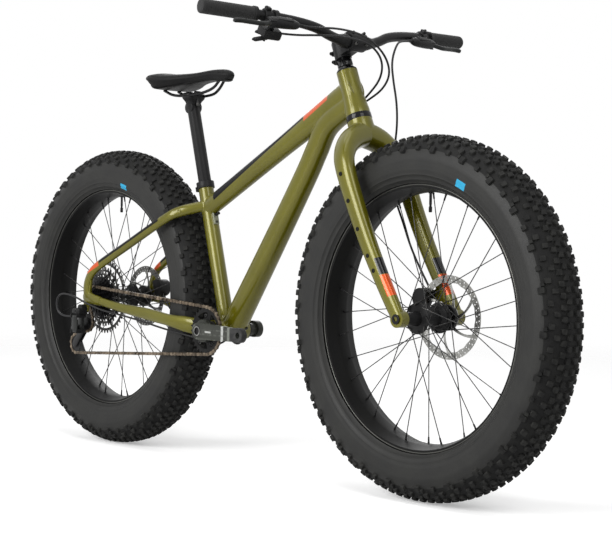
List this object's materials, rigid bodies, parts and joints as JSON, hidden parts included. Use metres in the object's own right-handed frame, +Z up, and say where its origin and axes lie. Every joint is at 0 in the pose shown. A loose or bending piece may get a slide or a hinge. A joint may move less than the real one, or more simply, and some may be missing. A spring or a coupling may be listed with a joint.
{
  "type": "fat tire bike",
  "caption": "Rigid mountain bike on very wide knobbed tires, with a bent down tube, disc brakes, a single chainring, a wide cassette and a flat riser bar",
  "frame": {"origin": "on the floor, midway between the wheel axles, in the bike's middle plane", "axes": "+X forward, +Y to the rider's left, +Z up"},
  "size_m": [1.89, 0.791, 1.0397],
  "materials": {
    "frame_paint": "glossy olive green with black and orange-red patches",
    "black_alloy": "satin black anodised",
    "dark_alloy": "charcoal anodised",
    "steel": "brushed",
    "black_steel": "black",
    "tread_rubber": "matt knobbed rubber",
    "soft_rubber": "matt",
    "black_plastic": "matt",
    "brake_lining": "dull",
    "saddle_cover": "satin black"
  },
  "bodies": {
    "frame": {"head_tube": "frame_paint", "top_tube": "frame_paint", "down_tube": "frame_paint", "seat_tube": "frame_paint", "bottom_bracket_shell": "frame_paint", "chainstays": "frame_paint", "seatstays": "frame_paint", "dropouts": "frame_paint", "headset_cups": "black_alloy", "bottom_bracket_cups": "black_alloy", "seat_collar": "black_alloy", "rear_axle": "steel", "rear_caliper": "black_alloy", "rear_brake_hose": "soft_rubber", "shift_housing": "soft_rubber", "chain": "steel", "derailleur_knuckle": "dark_alloy"},
    "fork": {"fork_crown": "frame_paint", "fork_legs": "frame_paint", "steerer_tube": "black_alloy", "stem": "black_alloy", "handlebar": "black_alloy", "grips": "soft_rubber", "lever_bodies": "black_alloy", "shifter_body": "black_plastic", "front_axle": "steel", "front_caliper": "black_alloy", "front_brake_hose": "soft_rubber"},
    "left_lever": {"brake_lever_left": "black_alloy"},
    "right_lever": {"brake_lever_right": "black_alloy"},
    "upshift_paddle": {"upshift_lever": "black_plastic"},
    "downshift_paddle": {"downshift_lever": "black_plastic"},
    "front_left_pad": {"front_pad_left": "brake_lining"},
    "front_right_pad": {"front_pad_right": "brake_lining"},
    "rear_left_pad": {"rear_pad_left": "brake_lining"},
    "rear_right_pad": {"rear_pad_right": "brake_lining"},
    "front_wheel": {"front_tire": "tread_rubber", "front_rim": "black_alloy", "front_hub": "black_alloy", "front_spokes": "black_steel", "front_rotor": "steel"},
    "rear_wheel": {"rear_tire": "tread_rubber", "rear_rim": "black_alloy", "rear_hub": "black_alloy", "rear_spokes": "black_steel", "rear_rotor": "steel"},
    "cassette_body": {"cassette": "steel"},
    "crankset": {"crank_arm_right": "dark_alloy", "crank_arm_left": "dark_alloy", "chainring": "steel"},
    "outer_link": {"derailleur_outer_link": "dark_alloy"},
    "inner_link": {"derailleur_inner_link": "dark_alloy"},
    "lower_knuckle": {"derailleur_lower_knuckle": "dark_alloy"},
    "cage": {"derailleur_cage": "dark_alloy"},
    "guide_wheel": {"guide_pulley": "black_plastic"},
    "tension_wheel": {"tension_pulley": "black_plastic"},
    "post": {"seatpost": "black_alloy"},
    "cradle": {"seat_clamp": "black_alloy"},
    "seat": {"saddle_base": "black_plastic", "saddle": "saddle_cover"}
  },
  "joints": [
    {"name": "steering", "type": "hinge", "parent": "frame", "child": "fork", "pos_m": [0.34214, 0, 0.80709], "axis": [-0.3665, 0, 0.9304], "range_deg": [-70, 70], "deforming": ["rear_brake_hose", "shift_housing"]},
    {"name": "front_wheel_spin", "type": "hinge", "parent": "fork", "child": "front_wheel", "pos_m": [0.56, 0, 0.385], "axis": [0, 1, 0], "continuous": true},
    {"name": "rear_wheel_spin", "type": "hinge", "parent": "frame", "child": "rear_wheel", "pos_m": [-0.56, 0, 0.385], "axis": [0, 1, 0], "continuous": true},
    {"name": "crank_spin", "type": "hinge", "parent": "frame", "child": "crankset", "pos_m": [-0.10534, 0, 0.322], "axis": [0, 1, 0], "continuous": true, "deforming": ["chain"]},
    {"name": "cassette_spin", "type": "hinge", "parent": "frame", "child": "cassette_body", "pos_m": [-0.56, 0, 0.385], "axis": [0, 1, 0], "continuous": true, "deforming": ["chain"]},
    {"name": "left_lever_pull", "type": "hinge", "parent": "fork", "child": "left_lever", "pos_m": [0.32456, 0.24146, 0.99832], "axis": [0.5292, 0.0525, 0.8469], "range_deg": [0, 12], "stiffness_Nm_per_rad": 2},
    {"name": "right_lever_pull", "type": "hinge", "parent": "fork", "child": "right_lever", "pos_m": [0.32456, -0.24146, 0.99832], "axis": [-0.5292, 0.0525, -0.8469], "range_deg": [0, 12], "stiffness_Nm_per_rad": 2},
    {"name": "upshift_push", "type": "hinge", "parent": "fork", "child": "upshift_paddle", "pos_m": [0.27133, -0.20113, 0.98177], "axis": [0.5292, -0.0525, 0.8469], "range_deg": [0, 15], "stiffness_Nm_per_rad": 0.5},
    {"name": "downshift_push", "type": "hinge", "parent": "fork", "child": "downshift_paddle", "pos_m": [0.27951, -0.22296, 0.97531], "axis": [0.5292, -0.0525, 0.8469], "range_deg": [0, 25], "stiffness_Nm_per_rad": 0.5},
    {"name": "front_left_pad_squeeze", "type": "slide", "parent": "fork", "child": "front_left_pad", "axis": [0, -1, 0], "range_m": [0, 0.0005]},
    {"name": "front_right_pad_squeeze", "type": "slide", "parent": "fork", "child": "front_right_pad", "axis": [0, 1, 0], "range_m": [0, 0.0005]},
    {"name": "rear_left_pad_squeeze", "type": "slide", "parent": "frame", "child": "rear_left_pad", "axis": [0, -1, 0], "range_m": [0, 0.0005]},
    {"name": "rear_right_pad_squeeze", "type": "slide", "parent": "frame", "child": "rear_right_pad", "axis": [0, 1, 0], "range_m": [0, 0.0005]},
    {"name": "derailleur_shift", "type": "hinge", "parent": "frame", "child": "outer_link", "pos_m": [-0.578, -0.13, 0.335], "axis": [1, 0, 0], "range_deg": [-5, 9.5], "stiffness_Nm_per_rad": 1, "deforming": ["chain"]},
    {"name": "inner_link_swing", "type": "hinge", "parent": "frame", "child": "inner_link", "pos_m": [-0.578, -0.11, 0.335], "axis": [1, 0, 0], "range_deg": [-5, 9.5], "deforming": ["chain"]},
    {"name": "lower_knuckle_level", "type": "hinge", "parent": "outer_link", "child": "lower_knuckle", "pos_m": [-0.578, -0.13, 0.295], "axis": [1, 0, 0], "range_deg": [-9.5, 5], "deforming": ["chain"]},
    {"name": "cage_swing", "type": "hinge", "parent": "lower_knuckle", "child": "cage", "pos_m": [-0.6, -0.0841, 0.302], "axis": [0, 1, 0], "range_deg": [-25, 30], "stiffness_Nm_per_rad": 0.8, "deforming": ["chain"]},
    {"name": "guide_pulley_spin", "type": "hinge", "parent": "cage", "child": "guide_wheel", "pos_m": [-0.58559, -0.0841, 0.31863], "axis": [0, 1, 0], "continuous": true, "deforming": ["chain"]},
    {"name": "tension_pulley_spin", "type": "hinge", "parent": "cage", "child": "tension_wheel", "pos_m": [-0.63798, -0.0841, 0.25816], "axis": [0, 1, 0], "continuous": true, "deforming": ["chain"]},
    {"name": "seatpost_height", "type": "slide", "parent": "frame", "child": "post", "axis": [-0.2672, 0, 0.9636], "range_m": [-0.12, 0.05]},
    {"name": "saddle_tilt", "type": "hinge", "parent": "post", "child": "cradle", "pos_m": [-0.2566, 0, 0.86742], "axis": [0, 1, 0], "range_deg": [-8, 8]},
    {"name": "saddle_slide", "type": "slide", "parent": "cradle", "child": "seat", "axis": [1, 0, 0], "range_m": [-0.015, 0.015]}
  ],
  "couplings": [
    {"joint": "cassette_spin", "follows": "crank_spin", "ratio": 2.1538},
    {"joint": "guide_pulley_spin", "follows": "crank_spin", "ratio": -2.3333},
    {"joint": "tension_pulley_spin", "follows": "crank_spin", "ratio": 2.3333},
    {"joint": "front_left_pad_squeeze", "follows": "left_lever_pull", "m_per_rad": 0.0023871},
    {"joint": "front_right_pad_squeeze", "follows": "left_lever_pull", "m_per_rad": 0.0023871},
    {"joint": "rear_left_pad_squeeze", "follows": "right_lever_pull", "m_per_rad": 0.0023871},
    {"joint": "rear_right_pad_squeeze", "follows": "right_lever_pull", "m_per_rad": 0.0023871},
    {"joint": "inner_link_swing", "follows": "derailleur_shift", "ratio": 1},
    {"joint": "lower_knuckle_level", "follows": "derailleur_shift", "ratio": -1}
  ]
}
